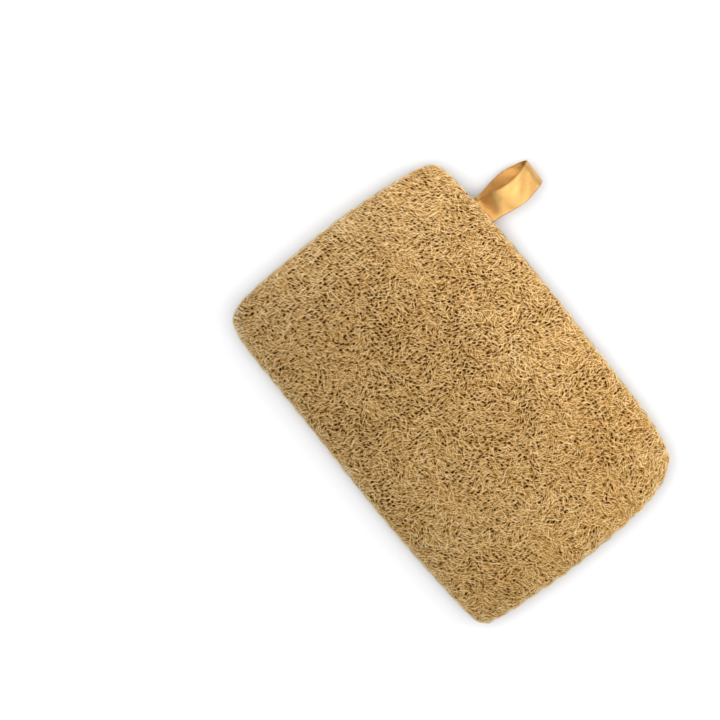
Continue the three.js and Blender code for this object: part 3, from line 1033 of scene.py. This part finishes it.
def ribbon_mesh(shape, rim):
    """The folded ribbon with its thickness, its thicker woven edges and a slight hollow"""
    rows, columns = 200, 36
    route, length = ribbon_route(shape, rim, rows)
    ahead = np.gradient(route, axis=0)
    ahead /= np.linalg.norm(ahead, axis=1)[:, None]
    outward = as_points(-ahead[:, 1], ahead[:, 0])
    across = np.linspace(-1, 1, columns)
    selvedge = smooth_step(abs(across), 0.9, 0.95) - smooth_step(abs(across), 0.97, 1.0)
    half = shape.thickness / 2 * (1 + 0.9 * selvedge)
    share = np.linspace(0, 1, rows)
    held = smooth_step(share, 0.1, 0.25) * smooth_step(1 - share, 0.1, 0.25)
    cup = 0.16 * MM * (1 - across[None, :] ** 2) * held[:, None]
    ripple = 0.07 * MM * np.sin(across[None, :] * 5 + share[:, None] * 60) * held[:, None]
    lift = np.concatenate([cup + ripple + half, (cup + ripple - half)[:, ::-1]], axis=1)
    x = np.concatenate([across, across[::-1]])[None, :] * shape.width / 2 + 0 * lift
    y = route[:, :1] + outward[:, :1] * lift
    z = route[:, 1:] + outward[:, 1:] * lift
    points = as_points(*pose_ribbon(x, y, z, shape, rim))
    ring = points.shape[1]
    index = np.arange(rows * ring).reshape(rows, ring)
    after = np.roll(index, -1, axis=1)
    quads = as_points(index[:-1], after[:-1], after[1:], index[1:]).reshape(-1, 4)
    faces = [*quads.tolist(), index[0].tolist(), index[-1].tolist()]
    mesh = bpy.data.meshes.new("hanging_loop")
    mesh.from_pydata(points.reshape(-1, 3).tolist(), [], faces)
    u = np.broadcast_to((x / shape.width + 0.5), (rows, ring))
    v = np.broadcast_to(share[:, None], (rows, ring))
    map_corners(mesh, "Woven", as_points(u, v).reshape(-1, 2))
    close(mesh)
    mesh.shade_smooth()
    return mesh, length


# From thread to thread across and along the ribbon, and from one slanted line to the next
WARP, WEFT, TWILL = 0.2 * MM, 0.5 * MM, 0.8 * MM
# Where the woven edge begins, from the ribbon's middle, and over how much it darkens
SELVEDGE_FROM, SELVEDGE_FADE = 0.462, 0.012


def satin_material(shape, length):
    material, n = new_material("Gold satin")
    woven = n.add("ShaderNodeUVMap", uv_map="Woven").out
    u, v, _ = n.parts(woven)
    across, along = u * shape.width, v * length
    warp = (across * (2 * math.pi / WARP)).math("COSINE")
    weft = (along * (2 * math.pi / WEFT) + across * (2 * math.pi / TWILL)).math("COSINE")
    streaks = n.noise(n.joined(across * 5000.0, along * 90.0, 0.0), 1.0, 2.0)
    edge = ((abs(u - 0.5) - SELVEDGE_FROM) / SELVEDGE_FADE).clamped()
    light = 0.62 + warp * 0.12 + weft * 0.08 + (streaks - 0.5) * 0.5 - edge * 0.25
    base = ramp_of(n, light, [(0.1, shape.shade), (0.75, shape.gold)])
    relief = warp * 0.5 + weft * 0.5 + streaks
    surface(n, Base_Color=base, Roughness=0.2, Specular_IOR_Level=0.8, Metallic=0.82,
            Normal=bump(n, 0.35, 0.06 * MM, relief))
    return material


class LOOFAH_OT_loop(bpy.types.Operator):
    """Folds the satin ribbon into the hanging loop"""

    bl_idname = "loofah.loop"
    bl_label = "Hanging loop"

    def execute(self, context):
        sponge, shape = context.scene.sponge_shape, context.scene.ribbon_shape
        bow = sponge.side_bow[1] * (2 * shape.place / sponge.length) ** 2
        rim = sponge.width / 2 * (1 - bow)
        mesh, length = ribbon_mesh(shape, rim)
        mesh.materials.append(satin_material(shape, length))
        piece = place_piece("hanging_loop", mesh, "ribbon_loop")
        return {"FINISHED"}


# The way to the sky's darker patch, the cosine where it begins and how much further it is full
PATCH_WAY = Vector((0.37, -0.82, 0.42)).normalized()
PATCH_FROM, PATCH_FADE = 0.8, 0.1
# From the middle of the picture to each lamp
KEY_AWAY = Vector((0.42, 0.22, 0.88))
SIDE_AWAY = Vector((0.36, 0.63, 0.5))
TOP_AWAY = Vector((-0.1, -0.4, 1.6))
# Where the camera looks, how far the floor is under the sponge, and half the floor's size
PICTURE_CENTRE = Vector((-32.3 * MM, -21.25 * MM, 0))
FLOOR_GAP = 0.1 * MM
FLOOR_REACH = 3.0


def studio(look):
    """Soft light from all round, fainter near the horizon, with a darker patch that the
    satin's folds mirror"""
    world = bpy.data.worlds.new("Soft studio")
    n = empty_nodes(world)
    way = n.add("ShaderNodeTexCoord")["Generated"]
    nearness = n.vector("DOT_PRODUCT", way, PATCH_WAY)
    patch = ((nearness - PATCH_FROM) / PATCH_FADE).clamped()
    _, _, rise = n.parts(way)
    strength = (1 - patch * look.shade) * ((rise * 1.2).clamped(0.0, 0.6) + 0.4) * look.fill
    background = n.add("ShaderNodeBackground", {"Color": PLAIN, "Strength": strength})
    n.add("ShaderNodeOutputWorld", {"Surface": background.out})
    return world


def add_lamp(name, size, power, away):
    """A round lamp that stands away from the middle of the picture and faces it"""
    light = bpy.data.lights.new(name, "AREA")
    light.shape = "DISK"
    light.size = size
    light.energy = power
    lamp = add_object(name, light)
    lamp.location = PICTURE_CENTRE + away
    lamp.rotation_euler = (-away).to_track_quat("-Z", "Y").to_euler()


class LOOFAH_OT_stage(bpy.types.Operator):
    """Makes the floor, the light and the camera"""

    bl_idname = "loofah.stage"
    bl_label = "Stage"

    def execute(self, context):
        scene, look = context.scene, context.scene.stage_look
        mesh = bpy.data.meshes.new("Floor")
        ends = -FLOOR_REACH, FLOOR_REACH
        mesh.from_pydata([(x, y, 0) for x in ends for y in ends], [], [(0, 2, 3, 1)])
        material, n = new_material("Pale floor")
        surface(n, Base_Color=(0.85, 0.86, 0.88, 1.0), Roughness=0.9)
        mesh.materials.append(material)
        floor = add_object("Floor", mesh)
        floor.location.z = -FLOOR_GAP

        scene.world = studio(look)

        add_lamp("Key", look.lamp_size, look.key_power, KEY_AWAY)
        add_lamp("Side", look.lamp_size, look.side_power, SIDE_AWAY)
        add_lamp("Top", look.top_size, look.top_power, TOP_AWAY)

        right = Vector((math.cos(look.turn), math.sin(look.turn), 0))
        up = Vector((-right.y, right.x, 0))
        camera = bpy.data.cameras.new("Camera")
        camera.sensor_width = 36.0
        camera.lens = camera.sensor_width * look.camera_height / look.frame_width
        holder = add_object("Camera", camera)
        turn = Matrix((right, up, Vector((0, 0, 1)))).transposed().to_4x4()
        over = PICTURE_CENTRE + Vector((0, 0, look.camera_height))
        holder.matrix_world = Matrix.Translation(over) @ turn
        scene.camera = holder
        scene.view_settings.view_transform = "Standard"
        return {"FINISHED"}


STEPS = (LOOFAH_OT_stage, LOOFAH_OT_layers, LOOFAH_OT_stitches, LOOFAH_OT_loop)
SETTINGS = {
    "sponge_shape": SpongeShape,
    "fibre_look": FibreLook,
    "stitch_look": StitchLook,
    "ribbon_shape": RibbonShape,
    "stage_look": StageLook,
}


class LOOFAH_PT_sponge(bpy.types.Panel):
    """Steps and sizes of the loofah sponge"""

    bl_idname = "LOOFAH_PT_sponge"
    bl_label = "Loofah sponge"
    bl_space_type = "VIEW_3D"
    bl_region_type = "UI"
    bl_category = "Loofah"

    def draw(self, context):
        for step in STEPS:
            self.layout.operator(step.bl_idname)
        for name, group in SETTINGS.items():
            box = self.layout.box()
            box.label(text=group.__doc__)
            for size in group.__annotations__:
                box.prop(getattr(context.scene, name), size)


def register():
    for group in (*SETTINGS.values(), *STEPS, LOOFAH_PT_sponge):
        bpy.utils.register_class(group)
    for name, group in SETTINGS.items():
        setattr(bpy.types.Scene, name, PointerProperty(type=group))


def unregister():
    for name in SETTINGS:
        delattr(bpy.types.Scene, name)
    for group in (LOOFAH_PT_sponge, *STEPS, *SETTINGS.values()):
        bpy.utils.unregister_class(group)


def main():
    register()
    bpy.ops.loofah.stage()
    bpy.ops.loofah.layers()
    bpy.ops.loofah.stitches()
    bpy.ops.loofah.loop()


if __name__ == "__main__":
    main()
